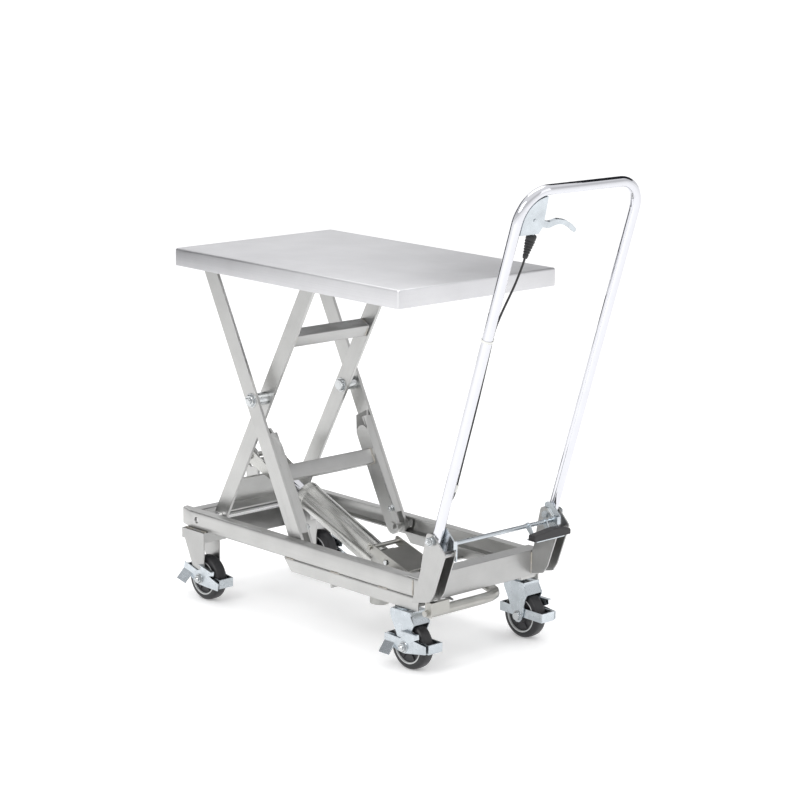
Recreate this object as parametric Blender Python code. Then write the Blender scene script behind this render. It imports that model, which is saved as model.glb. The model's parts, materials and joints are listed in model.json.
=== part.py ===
"""Mobile scissor lift table with a foot pump: the table stands raised.

Metres, +Z up. +X is the handle end and -Y is the left side. The piece is drawn with the
middle of the table at x = 0, and a root empty then moves it onto the middle of its box.
"""

import math

import bmesh
import bpy
from mathutils import Matrix, Vector

NAME = "scissor_lift_table"
GAP = 0.0003
CENTRE_X = 0.12074

# Table
TABLE_LENGTH = 0.700
TABLE_WIDTH = 0.450
TABLE_TOP = 0.787
LOWERED_TOP = 0.275
SKIRT = 0.038
SHEET = 0.003

# Scissors
ARM = 0.664
ARM_WIDTH = 0.038
ARM_SHEET = 0.007
PIVOT_X = -0.3345
PIVOT_Z = 0.175
TOP_PIVOT_Z = 0.7632
INNER_ARM_Y = 0.1067
OUTER_ARM_Y = 0.1455
ROLLER = 0.016
PIN = 0.008
AXLE = 0.006

# Chassis
RAIL_Y = 0.178
RAIL_TIP_Y = 0.1545
RAIL_BOTTOM = 0.155
RAIL_TOP = 0.195
RAIL_WALL = 0.0035
RAIL_END = 0.3688
BEAM_TOP = 0.1979

# Cylinder and pump
BASE_PIN = Vector((0.125, 0.0, 0.117))
ROD_PIN = Vector((-0.325, 0.0, 0.303))
BARREL = 0.029
BARREL_HEAD = 0.322
ROD = 0.0125
PEDAL_PIVOT = Vector((0.215, 0.0, 0.135))
PEDAL_TRAVEL = math.radians(9)
PLUNGER_PIN = Vector((0.131, 0.0, 0.155))

# Handle
HANDLE_LEAN = math.atan(0.3025)
HANDLE_FOOT_X = 0.3242
HANDLE_Y = 0.167
HANDLE_TUBE = 0.011
HANDLE_PIVOT = 0.2967
HANDLE_TOP = 1.0489
HANDLE_BEND = 0.065
HANDLE_FOOT = 0.2664
LEVER_PIVOT = (-0.125, 0.9904)
CABLE = 0.00225

# Wheels
WHEEL = 0.050
WHEEL_WIDTH = 0.030
WHEEL_Y = 0.165
FRONT_AXLE_X = -0.3115
SWIVEL_X = 0.318
REAR_AXLE_X = 0.343

SIDES = {"left": -1, "right": 1}
SLOTS = {
    "stainless": ((0.62, 0.62, 0.61), 0.9, 0.38),
    "chrome": ((0.80, 0.80, 0.81), 1.0, 0.08),
    "zinc": ((0.60, 0.63, 0.66), 0.9, 0.30),
    "steel": ((0.50, 0.51, 0.52), 0.9, 0.35),
    "black_rubber": ((0.02, 0.02, 0.02), 0.0, 0.60),
    "black_plastic": ((0.03, 0.03, 0.03), 0.0, 0.40),
    "white_plastic": ((0.70, 0.70, 0.68), 0.0, 0.45),
    "tyre": ((0.025, 0.025, 0.027), 0.0, 0.55),
}

for old in list(bpy.data.objects):
    bpy.data.objects.remove(old)
parts = bpy.data.collections.new(NAME)
cutters = bpy.data.collections.new("cutters")
bpy.context.scene.collection.children.link(parts)
bpy.context.scene.collection.children.link(cutters)
bodies = {}
materials = {}


def empty(name, parent, location):
    """A body: an empty that stands on the joint axis of its pieces."""
    made = bpy.data.objects.new(name, None)
    parts.objects.link(made)
    made.empty_display_size = 0.02
    made.parent = parent
    home = parent.get("home", (0, 0, 0)) if parent else (0, 0, 0)
    made.location = Vector(location) - Vector(home)
    made["home"] = tuple(location)
    return made


def body(name, parent, location):
    bodies[name] = empty("body_" + name, bodies[parent] if parent else root, location)


def material(slot):
    if slot not in materials:
        colour, metallic, roughness = SLOTS[slot]
        made = bpy.data.materials.new(slot)
        made.use_nodes = True
        shader = made.node_tree.nodes["Principled BSDF"]
        shader.inputs["Base Color"].default_value = (*colour, 1)
        shader.inputs["Metallic"].default_value = metallic
        shader.inputs["Roughness"].default_value = roughness
        made.diffuse_color = (*colour, 1)
        materials[slot] = made
    return materials[slot]


def finished(bm, name):
    """Closes a bmesh into a loose object with its faces outward."""
    bmesh.ops.remove_doubles(bm, verts=bm.verts, dist=1e-6)
    bmesh.ops.dissolve_degenerate(bm, edges=bm.edges, dist=1e-7)
    bmesh.ops.recalc_face_normals(bm, faces=bm.faces)
    mesh = bpy.data.meshes.new(name)
    bm.to_mesh(mesh)
    bm.free()
    made = bpy.data.objects.new(name, mesh)
    made.parent = root
    return made


def node(name, body_name, slot, made):
    """Hangs a piece on its body, under its own name and material."""
    made.name = name
    made.data.name = name
    made.data.materials.clear()
    made.data.materials.append(material(slot))
    made.data.shade_smooth()
    made.data.set_sharp_from_angle(angle=math.radians(32))
    parts.objects.link(made)
    holder = bodies[body_name]
    made.parent = holder
    made.matrix_parent_inverse = Matrix.Translation(-Vector(holder["home"]))
    return made


def combine(target, operation, others):
    for other in others:
        cutters.objects.link(other)
        other.hide_render = True
        other.display_type = "WIRE"
        boolean = target.modifiers.new(operation.lower(), "BOOLEAN")
        boolean.operation = operation
        boolean.solver = "EXACT"
        boolean.object = other
    return target


def fuse(target, *others):
    return combine(target, "UNION", others)


def carve(target, *others):
    return combine(target, "DIFFERENCE", others)


def frame(origin, along, up, out=(0, 1, 0)):
    """A matrix that carries flat (u, v, w) drawings onto three world directions."""
    columns = [Vector(along), Vector(up), Vector(out), Vector(origin)]
    rows = [[column[i] for column in columns] for i in range(3)]
    return Matrix(rows + [[0, 0, 0, 1]])


def span(side, near, far):
    """The stretch between two distances from the middle plane, on one side of it."""
    return tuple(sorted((side * near, side * far)))


def rounded(corners, steps=3):
    """The outline through (u, v, radius) corners, each one turned into a short arc."""
    points = []
    count = len(corners)
    for i, (u, v, radius) in enumerate(corners):
        here = Vector((u, v))
        if not radius:
            points.append(tuple(here))
            continue
        before = (Vector(corners[i - 1][:2]) - here).normalized()
        after = (Vector(corners[(i + 1) % count][:2]) - here).normalized()
        half = before.angle(after) / 2
        centre = here + (before + after).normalized() * (radius / math.sin(half))
        start = here + before * (radius / math.tan(half)) - centre
        end = here + after * (radius / math.tan(half)) - centre
        sweep = math.atan2(start.x * end.y - start.y * end.x, start.dot(end))
        for k in range(steps + 1):
            turn = Matrix.Rotation(sweep * k / steps, 2)
            points.append(tuple(centre + turn @ start))
    return points


def circle(u, v, radius, steps=12):
    angles = [2 * math.pi * k / steps for k in range(steps)]
    return [(u + radius * math.cos(a), v + radius * math.sin(a)) for a in angles]


def belt(circles, steps=16):
    """The outline of a band pulled tight round (u, v, radius) circles."""
    points = set()
    for u, v, radius in circles:
        points |= {(round(a, 7), round(b, 7)) for a, b in circle(u, v, radius, steps)}
    chains = []
    for ordered in (sorted(points), sorted(points, reverse=True)):
        chain = []
        for point in ordered:
            while len(chain) > 1:
                (ax, ay), (bx, by) = chain[-2:]
                if (bx - ax) * (point[1] - ay) - (by - ay) * (point[0] - ax) > 0:
                    break
                chain.pop()
            chain.append(point)
        chains += chain[:-1]
    return chains


def strip(points, thickness):
    """The outline of a bent sheet whose middle runs through the points."""
    left = []
    right = []
    for i, here in enumerate(points):
        here = Vector(here)
        before = here - Vector(points[i - 1]) if i else None
        after = Vector(points[i + 1]) - here if i + 1 < len(points) else None
        first = (before or after).normalized()
        second = (after or before).normalized()
        mean = (first + second).normalized()
        reach = thickness / 2 / mean.dot(first)
        across = Vector((-mean.y, mean.x)) * reach
        left.append(tuple(here + across))
        right.append(tuple(here - across))
    return left + right[::-1]


SIDE = frame((0, 0, 0), (1, 0, 0), (0, 0, 1))
CROSS = frame((0, 0, 0), (0, 1, 0), (0, 0, 1), (1, 0, 0))
FLAT = Matrix.Identity(4)


def plate(outline, start, end, matrix=SIDE, holes=()):
    """A flat piece: an outline with holes, thick from start to end along w."""
    curve = bpy.data.curves.new("outline", "CURVE")
    curve.dimensions = "2D"
    curve.fill_mode = "BOTH"
    curve.extrude = abs(end - start) / 2
    for points in (outline, *holes):
        spline = curve.splines.new("POLY")
        spline.points.add(len(points) - 1)
        spline.use_cyclic_u = True
        for knot, (u, v) in zip(spline.points, points):
            knot.co = (u, v, 0, 1)
    bm = bmesh.new()
    bm.from_mesh(flattened(curve))
    bm.transform(matrix @ Matrix.Translation((0, 0, (start + end) / 2)))
    return finished(bm, "plate")


def flattened(curve):
    """The mesh that a curve makes; the curve itself goes."""
    source = bpy.data.objects.new("source", curve)
    parts.objects.link(source)
    bpy.context.view_layer.update()
    graph = bpy.context.evaluated_depsgraph_get()
    mesh = bpy.data.meshes.new_from_object(source.evaluated_get(graph))
    bpy.data.objects.remove(source)
    bpy.data.curves.remove(curve)
    return mesh


def tube(points, radius, resolution=2):
    """A round bar bent through the points, with flat ends."""
    curve = bpy.data.curves.new("tube", "CURVE")
    curve.dimensions = "3D"
    curve.bevel_depth = radius
    curve.bevel_resolution = resolution
    curve.use_fill_caps = True
    spline = curve.splines.new("POLY")
    spline.points.add(len(points) - 1)
    for knot, point in zip(spline.points, points):
        knot.co = (*point, 1)
    bm = bmesh.new()
    bm.from_mesh(flattened(curve))
    return finished(bm, "tube")


def smooth(points, spacing):
    """Evenly spaced points on the smooth line through the given ones."""
    line = [Vector(p) for p in points]
    line = [2 * line[0] - line[1], *line, 2 * line[-1] - line[-2]]
    fine = []
    for a, b, c, d in zip(line, line[1:], line[2:], line[3:]):
        for k in range(20):
            t = k / 20
            bend = (2 * a - 5 * b + 4 * c - d) * t * t + (3 * b - a - 3 * c + d) * t**3
            fine.append((2 * b + (c - a) * t + bend) / 2)
    fine.append(line[-2])
    total = sum((b - a).length for a, b in zip(fine, fine[1:]))
    count = max(2, round(total / spacing))
    made = [fine[0]]
    walked = 0
    for a, b in zip(fine, fine[1:]):
        step = (b - a).length
        while len(made) < count and walked + step >= total * len(made) / count:
            made.append(a.lerp(b, (total * len(made) / count - walked) / step))
        walked += step
    return made + [fine[-1]]


def bar(start, end, radius, steps=12, far=None):
    """A round bar between two points; far gives its other end another radius."""
    start = Vector(start)
    end = Vector(end)
    run = end - start
    turn = run.to_track_quat("Z", "Y").to_matrix().to_4x4()
    bm = bmesh.new()
    bmesh.ops.create_cone(
        bm,
        cap_ends=True,
        segments=steps,
        radius1=radius,
        radius2=far or radius,
        depth=run.length,
        matrix=Matrix.Translation((start + end) / 2) @ turn,
    )
    return finished(bm, "bar")


def across(x, z, near, far, radius, steps=12):
    """A round bar that runs along Y."""
    return bar((x, near, z), (x, far, z), radius, steps)


def turned(profile, start, direction, steps=20):
    """A turned piece: a closed profile of (distance along, radius) spun round a line."""
    start = Vector(start)
    direction = Vector(direction).normalized()
    across_to = Vector((1, 0, 0)) if abs(direction.x) < 0.5 else Vector((0, 1, 0))
    arm = direction.cross(across_to).normalized()
    bm = bmesh.new()
    ring = [bm.verts.new(start + direction * a + arm * r) for a, r in profile]
    edges = [bm.edges.new((ring[i - 1], ring[i])) for i in range(len(ring))]
    bmesh.ops.spin(
        bm,
        geom=ring + edges,
        cent=start,
        axis=direction,
        angle=2 * math.pi,
        steps=steps,
        use_duplicate=False,
    )
    return finished(bm, "turned")


def block(low, high, matrix=FLAT, edge=0):
    """A box between two corners, its edges rounded when edge is given."""
    low = Vector(low)
    high = Vector(high)
    bm = bmesh.new()
    size = Matrix.Diagonal((*(high - low), 1))
    bmesh.ops.create_cube(bm, size=1, matrix=Matrix.Translation((low + high) / 2) @ size)
    if edge:
        bmesh.ops.bevel(
            bm, geom=bm.edges[:], offset=edge, segments=2, affect="EDGES", profile=0.5
        )
    bm.transform(matrix)
    return finished(bm, "block")


def loft(rings):
    """A closed skin through rings of matching points, with flat ends."""
    bm = bmesh.new()
    rows = [[bm.verts.new(point) for point in ring] for ring in rings]
    for first, second in zip(rows, rows[1:]):
        for i in range(len(first)):
            bm.faces.new((first[i - 1], first[i], second[i], second[i - 1]))
    bm.faces.new(rows[0])
    bm.faces.new(rows[-1])
    return finished(bm, "loft")


root = empty("root", None, (-CENTRE_X, 0, 0))
root["home"] = (0, 0, 0)

rise = math.asin((TOP_PIVOT_Z - PIVOT_Z) / ARM)
ROLLER_X = PIVOT_X + ARM * math.cos(rise)
BASE = Vector((PIVOT_X, 0, PIVOT_Z))
TOP = Vector((PIVOT_X, 0, TOP_PIVOT_Z))
ROLL_LOW = Vector((ROLLER_X, 0, PIVOT_Z))
ROLL_HIGH = Vector((ROLLER_X, 0, TOP_PIVOT_Z))
CENTRE = (BASE + ROLL_HIGH) / 2
INNER = frame(BASE, (math.cos(rise), 0, math.sin(rise)), (math.sin(rise), 0, -math.cos(rise)))
OUTER = frame(ROLL_LOW, (-math.cos(rise), 0, math.sin(rise)), (math.sin(rise), 0, math.cos(rise)))
PUSH = (ROD_PIN - BASE_PIN).normalized()
PUSH_UP = Vector((-PUSH.z, 0, PUSH.x)) * (-1 if PUSH.x < 0 else 1)
REACH = (ROD_PIN - BASE_PIN).length
CYLINDER = frame(BASE_PIN, PUSH, PUSH_UP)
LEAN = Vector((math.sin(HANDLE_LEAN), 0, math.cos(HANDLE_LEAN)))
LEAN_OUT = Vector((LEAN.z, 0, -LEAN.x))
HANDLE = frame((HANDLE_FOOT_X, 0, 0), (0, 1, 0), LEAN, LEAN_OUT)
PLUNGE = Matrix.Rotation(PEDAL_TRAVEL, 3, "Y") @ (PLUNGER_PIN - PEDAL_PIVOT)
PLUNGE = (PLUNGE - (PLUNGER_PIN - PEDAL_PIVOT)).normalized()


def on_handle(y, along, out=0.0):
    """A point given in the plane of the handle."""
    return HANDLE @ Vector((y, along, out))


def on_cylinder(along, up, y=0.0):
    return CYLINDER @ Vector((along, up, y))


HINGE = on_handle(0, HANDLE_PIVOT)
LATCH = Vector((0.428, 0, 0.275))
VALVE = on_cylinder(-0.032, -0.006)

body("chassis", None, (0, 0, 0))
body("inner_arms", "chassis", BASE)
body("outer_arms", "inner_arms", CENTRE)
body("table", "outer_arms", TOP)
body("cylinder", "chassis", BASE_PIN)
body("rod", "cylinder", ROD_PIN)
body("release_valve", "cylinder", VALVE)
body("plunger", "cylinder", PLUNGER_PIN)
body("pedal", "chassis", PEDAL_PIVOT)
body("handle", "chassis", HINGE)
body("fold_latch", "handle", LATCH)
body("hand_lever", "handle", on_handle(*LEVER_PIVOT))
for name, side in SIDES.items():
    y = side * WHEEL_Y
    body("top_roller_" + name, "inner_arms", (ROLLER_X, side * 0.1285, TOP_PIVOT_Z))
    body("bottom_roller_" + name, "outer_arms", (ROLLER_X, side * 0.164, PIVOT_Z))
    body("front_wheel_" + name, "chassis", (FRONT_AXLE_X, y, WHEEL))
    body("front_brake_" + name, "chassis", (FRONT_AXLE_X, y, WHEEL))
    body("rear_fork_" + name, "chassis", (SWIVEL_X, y, 0.125))
    body("rear_wheel_" + name, "rear_fork_" + name, (REAR_AXLE_X, y, WHEEL))
    body("rear_brake_" + name, "rear_fork_" + name, (REAR_AXLE_X, y, WHEEL))


def channel(web, tip, low, high, wall, radius=0.004):
    """The outline of a C profile in (y, z): its back at web, its flanges ending at tip."""
    sign = 1 if web > tip else -1
    inside = web - sign * wall
    inner = max(radius - wall, 0.001)
    corners = [
        (tip, low, 0),
        (web, low, radius),
        (web, high, radius),
        (tip, high, 0),
        (tip, high - wall, 0),
        (inside, high - wall, inner),
        (inside, low + wall, inner),
        (tip, low + wall, 0),
    ]
    return rounded(corners, 2)


def make_rail(name, side):
    """A C rail, open inward, whose front end turns in."""
    outline = channel(side * RAIL_Y, side * RAIL_TIP_Y, RAIL_BOTTOM, RAIL_TOP, RAIL_WALL)
    back = [(RAIL_END, y, z) for y, z in outline]
    knee = [(-0.361, y, z) for y, z in outline]
    turn = {y: y - side * 0.010 * (abs(y) > abs(RAIL_TIP_Y)) for y, z in outline}
    front = [(-0.397, turn[y], z) for y, z in outline]
    rail = loft([back, knee, front])
    hole = across(PIVOT_X - 0.003, PIVOT_Z + 0.001, side * 0.170, side * 0.185, 0.007)
    node("rail_" + name, "chassis", "stainless", carve(rail, hole))


def make_skirt(name, side):
    """The folded angle under a rail, cut on a slant at its front end."""
    low = 0.127
    high = RAIL_BOTTOM - GAP
    corners = [
        (side * 0.1565, high, 0),
        (side * 0.1765, high, 0.003),
        (side * 0.1765, low, 0),
        (side * 0.1735, low, 0),
        (side * 0.1735, high - 0.003, 0),
        (side * 0.1565, high - 0.003, 0),
    ]
    outline = rounded(corners, 2)
    front = [(-0.045 + 0.9 * (high - z), y, z) for y, z in outline]
    back = [(RAIL_END, y, z) for y, z in outline]
    node("side_skirt_" + name, "chassis", "stainless", loft([front, back]))


def make_tower(name, side):
    """The upright channel that holds a handle foot, open toward +X."""
    outer = [
        (0.355, 0.144, 0),
        (0.378, 0.210, 0),
        (0.3875, 0.263, 0.05),
        (0.3950, 0.298, 0.008),
        (0.413, 0.298, 0.010),
        (0.449, 0.262, 0.008),
        (0.418, 0.174, 0.02),
        (0.406, 0.156, 0.004),
    ]
    hollow = [
        (0.352, 0.120, 0),
        (0.3805, 0.210, 0),
        (0.3898, 0.263, 0.05),
        (0.3978, 0.310, 0),
        (0.480, 0.310, 0),
        (0.480, 0.120, 0),
    ]
    tower = plate(rounded(outer), *span(side, 0.149, 0.1818))
    pocket = plate(rounded(hollow), *span(side, 0.152, 0.1783))
    low = (0.300, min(span(side, 0.130, 0.1783)), 0.100)
    high = (0.3721, max(span(side, 0.130, 0.1783)), BEAM_TOP + GAP)
    notch = block(low, high)
    hole = across(HINGE.x, HINGE.z, side * 0.140, side * 0.190, 0.0045)
    carve(tower, pocket, notch, hole)
    stop = across(0.4375, 0.2565, *span(side, 0.150, 0.180), 0.004, 12)
    node("tower_" + name, "chassis", "stainless", fuse(tower, stop))


def make_chassis():
    front = strip(
        [(-0.362, 0.1895), (-0.383, 0.1905), (-0.3955, 0.154), (-0.371, 0.108)], 0.003
    )
    half = RAIL_TIP_Y - GAP
    node("front_cross_plate", "chassis", "stainless", plate(front, -half, half))
    beam = strip([(0.335, 0.1966), (0.3705, 0.1966), (0.3705, 0.143)], 0.0026)
    beam = plate(beam, -RAIL_Y, RAIL_Y)
    carve(beam, bar((0.36, -0.160, 0.175), (0.38, -0.160, 0.175), 0.0035, 12))
    node("rear_crossbeam", "chassis", "stainless", beam)
    half = RAIL_Y - RAIL_WALL - GAP
    shaft = across(PIVOT_X, PIVOT_Z, -half, half, PIN, 12)
    for side in SIDES.values():
        fuse(shaft, across(PIVOT_X, PIVOT_Z, *span(side, 0.114, 0.122), 0.013, 12))
    node("base_pivot_shaft", "chassis", "steel", shaft)
    for name, side in SIDES.items():
        make_rail(name, side)
        make_skirt(name, side)
        make_tower(name, side)


def make_front_fork(name, side):
    """A fixed fork: a box under the rail with two tapered cheeks and the axle bolt."""
    low, high = span(side, 0.125, 0.1885)
    fork = block((-0.375, low, 0.132), (-0.300, high, RAIL_BOTTOM - GAP))
    low, high = span(side, 0.128, 0.1855)
    carve(fork, block((-0.372, low, 0.120), (-0.303, high, RAIL_BOTTOM - 0.004)))
    cheek = belt([(FRONT_AXLE_X, WHEEL, 0.0135), (-0.374, 0.1525, 0.001), (-0.301, 0.1525, 0.001)])
    for near, far in ((0.1415, 0.1445), (0.1855, 0.1885)):
        fuse(fork, plate(cheek, *span(side, near, far)))
    fuse(fork, across(FRONT_AXLE_X, WHEEL, *span(side, 0.137, 0.193), 0.005, 12))
    fuse(fork, across(FRONT_AXLE_X, WHEEL, *span(side, 0.188, 0.193), 0.009, 6))
    fuse(fork, across(FRONT_AXLE_X, WHEEL, *span(side, 0.137, 0.142), 0.009, 6))
    node("front_fork_" + name, "chassis", "stainless", fork)


def make_rear_fork(name, side):
    """A swivel fork: its crown with a lip, two raked cheeks, the ball race, bolt and stem."""
    crown = strip([(0.302, 0.1230), (0.3572, 0.1230), (0.3572, 0.1165), (0.3680, 0.0985)], 0.003)
    fork = plate(crown, *span(side, 0.1430, 0.1870))
    cheek = rounded(
        [
            (0.300, 0.1245, 0.004),
            (0.3590, 0.1245, 0.002),
            (0.3592, 0.1170, 0.002),
            (0.3695, 0.0995, 0.003),
            (0.3630, 0.0860, 0.008),
            (0.3560, 0.0450, 0.008),
            (0.3490, 0.0365, 0.006),
            (0.3370, 0.0365, 0.006),
            (0.3190, 0.0740, 0.030),
            (0.3000, 0.1100, 0.020),
        ]
    )
    for near, far in ((0.1415, 0.1445), (0.1855, 0.1885)):
        fuse(fork, plate(cheek, *span(side, near, far)))
    y = side * WHEEL_Y
    head = [(0, 0.019), (0.0012, 0.0205), (0.0028, 0.0205), (0.0028, 0.0082), (0.0107, 0.0082)]
    head += [(0.0107, 0.005)]
    head += [(0.0148, 0.005), (0.0148, 0.008), (0.021, 0.008), (0.021, 0.004), (0.0235, 0.004)]
    head += [(0.0235, 0), (0, 0)]
    fuse(fork, turned(head, (SWIVEL_X, y, 0.1235), (0, 0, 1), 14))
    fuse(fork, across(REAR_AXLE_X, WHEEL, *span(side, 0.137, 0.193), 0.005, 12))
    fuse(fork, across(REAR_AXLE_X, WHEEL, *span(side, 0.188, 0.193), 0.009, 6))
    fuse(fork, across(REAR_AXLE_X, WHEEL, *span(side, 0.137, 0.142), 0.009, 6))
    node("rear_fork_" + name, "rear_fork_" + name, "stainless", fork)
    low, high = span(side, 0.128, 0.1732)
    box = block((0.272, low, 0.1345), (0.364, high, 0.1514))
    low, high = span(side, 0.131, 0.180)
    carve(box, block((0.275, low, 0.1380), (0.361, high, 0.180)))
    carve(box, bar((SWIVEL_X, y, 0.130), (SWIVEL_X, y, 0.145), 0.0053, 16))
    node("caster_plate_" + name, "chassis", "stainless", box)


def make_wheel(name, body_name, x, side):
    half = WHEEL_WIDTH / 2
    profile = [
        (-half - 0.001, 0.0053),
        (-half - 0.001, 0.014),
        (-half, 0.036),
        (-half, 0.043),
        (-half + 0.005, WHEEL),
    ]
    profile += [(-a, r) for a, r in reversed(profile)]
    wheel = turned(profile, (x, side * WHEEL_Y, WHEEL), (0, 1, 0), 28)
    node(name, body_name, "tyre", wheel)


def make_brake(name, x, side, rear, front, z_rear, z_front):
    """The strap round a wheel: two arms on the axle, joined beyond the tread at both ends."""
    arm = [
        (front, z_front - 0.010),
        (rear, z_rear - 0.010),
        (rear, z_rear + 0.010),
        (front, z_front + 0.010),
    ]
    wide = plate(arm, *span(side, 0.1455, 0.1845))
    well = [(front + 0.003, 0), (rear - 0.003, 0), (rear - 0.003, 0.12), (front + 0.003, 0.12)]
    well = plate(well, *span(side, 0.1485, 0.1815))
    carve(wide, well)
    for near, far in ((0.1455, 0.1485), (0.1815, 0.1845)):
        fuse(wide, across(x, WHEEL, *span(side, near, far), 0.012, 12))
    carve(wide, across(x, WHEEL, *span(side, 0.140, 0.190), 0.0053))
    node(name, name, "zinc", wide)


def make_running_gear():
    for name, side in SIDES.items():
        make_front_fork(name, side)
        make_rear_fork(name, side)
        make_wheel("front_wheel_" + name, "front_wheel_" + name, FRONT_AXLE_X, side)
        make_wheel("rear_wheel_" + name, "rear_wheel_" + name, REAR_AXLE_X, side)
        make_brake("front_brake_" + name, FRONT_AXLE_X, side, -0.250, -0.3685, 0.048, 0.063)
        make_brake("rear_brake_" + name, REAR_AXLE_X, side, 0.410, 0.2865, 0.057, 0.059)


def make_arms():
    """Two inner arms, two outer arms with their stiffeners, and what joins each pair."""
    half = ARM_WIDTH / 2
    for name, side in SIDES.items():
        inner = belt([(0, 0, half), (ARM, 0, half)])
        holes = [circle(0, 0, PIN + GAP), circle(ARM / 2, 0, PIN + GAP)]
        near = INNER_ARM_Y
        far = near + ARM_SHEET
        arm = plate(inner, *span(side, near, far), INNER, holes)
        fuse(arm, across(*ROLL_HIGH.xz, *span(side, near + 0.002, 0.1390), AXLE))
        fuse(arm, across(*ROLL_HIGH.xz, *span(side, near - 0.004, near + 0.002), 0.0095, 6))
        node("inner_arm_" + name, "inner_arms", "stainless", arm)
        outer = belt([(0, 0, half), (ARM - 0.020, 0, half), (ARM, 0, 0.0115)])
        holes = [circle(ARM, 0, PIN + GAP), circle(ARM / 2, 0, PIN + GAP)]
        near = OUTER_ARM_Y
        far = near + ARM_SHEET
        arm = plate(outer, *span(side, near, far), OUTER, holes)
        fuse(arm, across(*ROLL_LOW.xz, *span(side, 0.1185, 0.1740), AXLE))
        fuse(arm, across(*ROLL_LOW.xz, *span(side, 0.1185, 0.1234), 0.0095, 6))
        node("outer_arm_" + name, "outer_arms", "stainless", arm)
        stiff = belt([(0, 0, half), (0.215, 0, half)])
        stiff = plate(stiff, *span(side, 0.1237, 0.1300), OUTER, [circle(0, 0, AXLE + GAP)])
        rings = []
        edge = half - 0.0002
        for s, near in ((0.205, 0.1239), (0.222, 0.1239), (0.262, 0.1389)):
            low, high = side * near, side * (near + 0.0059)
            ring = [(s, -edge, low), (s, edge, low), (s, edge, high), (s, -edge, high)]
            rings.append([OUTER @ Vector(point) for point in ring])
        fuse(stiff, loft(rings))
        low, high = span(side, 0.126, OUTER_ARM_Y - GAP)
        fuse(stiff, block((0.025, 0.0125, low), (0.250, half - 0.0004, high), OUTER))
        bolt = OUTER @ Vector((0.036, 0.0135, 0))
        fuse(stiff, across(*bolt.xz, *span(side, 0.1205, 0.125), 0.007, 6))
        node("arm_stiffener_" + name, "outer_arms", "stainless", stiff)
        pin = across(*CENTRE.xz, *span(side, 0.101, 0.158), PIN, 16)
        fuse(pin, across(*CENTRE.xz, *span(side, 0.1140, 0.1452), 0.014, 16))
        fuse(pin, across(*CENTRE.xz, *span(side, 0.1528, 0.1580), 0.0125, 6))
        fuse(pin, across(*CENTRE.xz, *span(side, 0.1010, 0.1064), 0.0125, 6))
        node("centre_pin_" + name, "outer_arms", "zinc", pin)
        for roller, place, near, far in (
            ("bottom_roller_", ROLL_LOW, 0.156, 0.172),
            ("top_roller_", ROLL_HIGH, 0.118, 0.139),
        ):
            start, end = span(side, near, far)
            width = end - start
            profile = [(0, AXLE + GAP), (0, ROLLER), (width, ROLLER), (width, AXLE + GAP)]
            piece = turned(profile, (place.x, start, place.z), (0, 1, 0))
            node(roller + name, roller + name, "steel", piece)
    section = [(0.178, -0.010, 0), (0.178, 0.010, 0.003), (0.144, 0.010, 0.003)]
    section += [(0.144, -0.010, 0), (0.148, -0.010, 0), (0.148, 0.006, 0), (0.174, 0.006, 0)]
    section = rounded(section + [(0.174, -0.010, 0)], 2)
    wide = 0.1237 - GAP
    member = plate(section, -wide, wide, OUTER)
    node("lower_cross_member", "outer_arms", "stainless", member)
    square = [(0.476, -0.0145), (0.506, -0.0145), (0.506, 0.0145), (0.476, 0.0145)]
    outer = rounded([(u, v, 0.003) for u, v in square], 2)
    square = [(0.479, -0.0115), (0.503, -0.0115), (0.503, 0.0115), (0.479, 0.0115)]
    wide = INNER_ARM_Y - GAP
    pipe = plate(outer, -wide, wide, INNER, [square])
    node("upper_cross_tube", "inner_arms", "stainless", pipe)


def make_lift_lever():
    """The plate between the inner arms and its two ears, slotted for the rod pin."""
    wide = INNER_ARM_Y - GAP
    lever = block((0.020, -0.0145, -wide), (0.092, -0.0095, wide), INNER)
    fold = block((0.020, -0.0145, -wide), (0.0245, 0.012, wide), INNER)
    fuse(lever, fold)
    pin = INNER.inverted() @ ROD_PIN
    down = INNER.inverted() @ (ROD_PIN - Vector((0.0006, 0, 0.0168)))
    top = INNER.inverted() @ (ROD_PIN + Vector((-0.0006, 0, 0.0003)))
    for side in SIDES.values():
        ear = belt(
            [(pin.x, pin.y, 0.020), (down.x, down.y, 0.020), (0.030, -0.014, 0.003), (0.088, -0.013, 0.003)]
        )
        ear = plate(ear, *span(side, 0.024, 0.030), INNER)
        fuse(lever, ear)
    slot = belt([(down.x, down.y, 0.0093), (top.x, top.y, 0.0093)], 16)
    node("lift_lever", "inner_arms", "stainless", carve(lever, plate(slot, -0.04, 0.04, INNER)))


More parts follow.
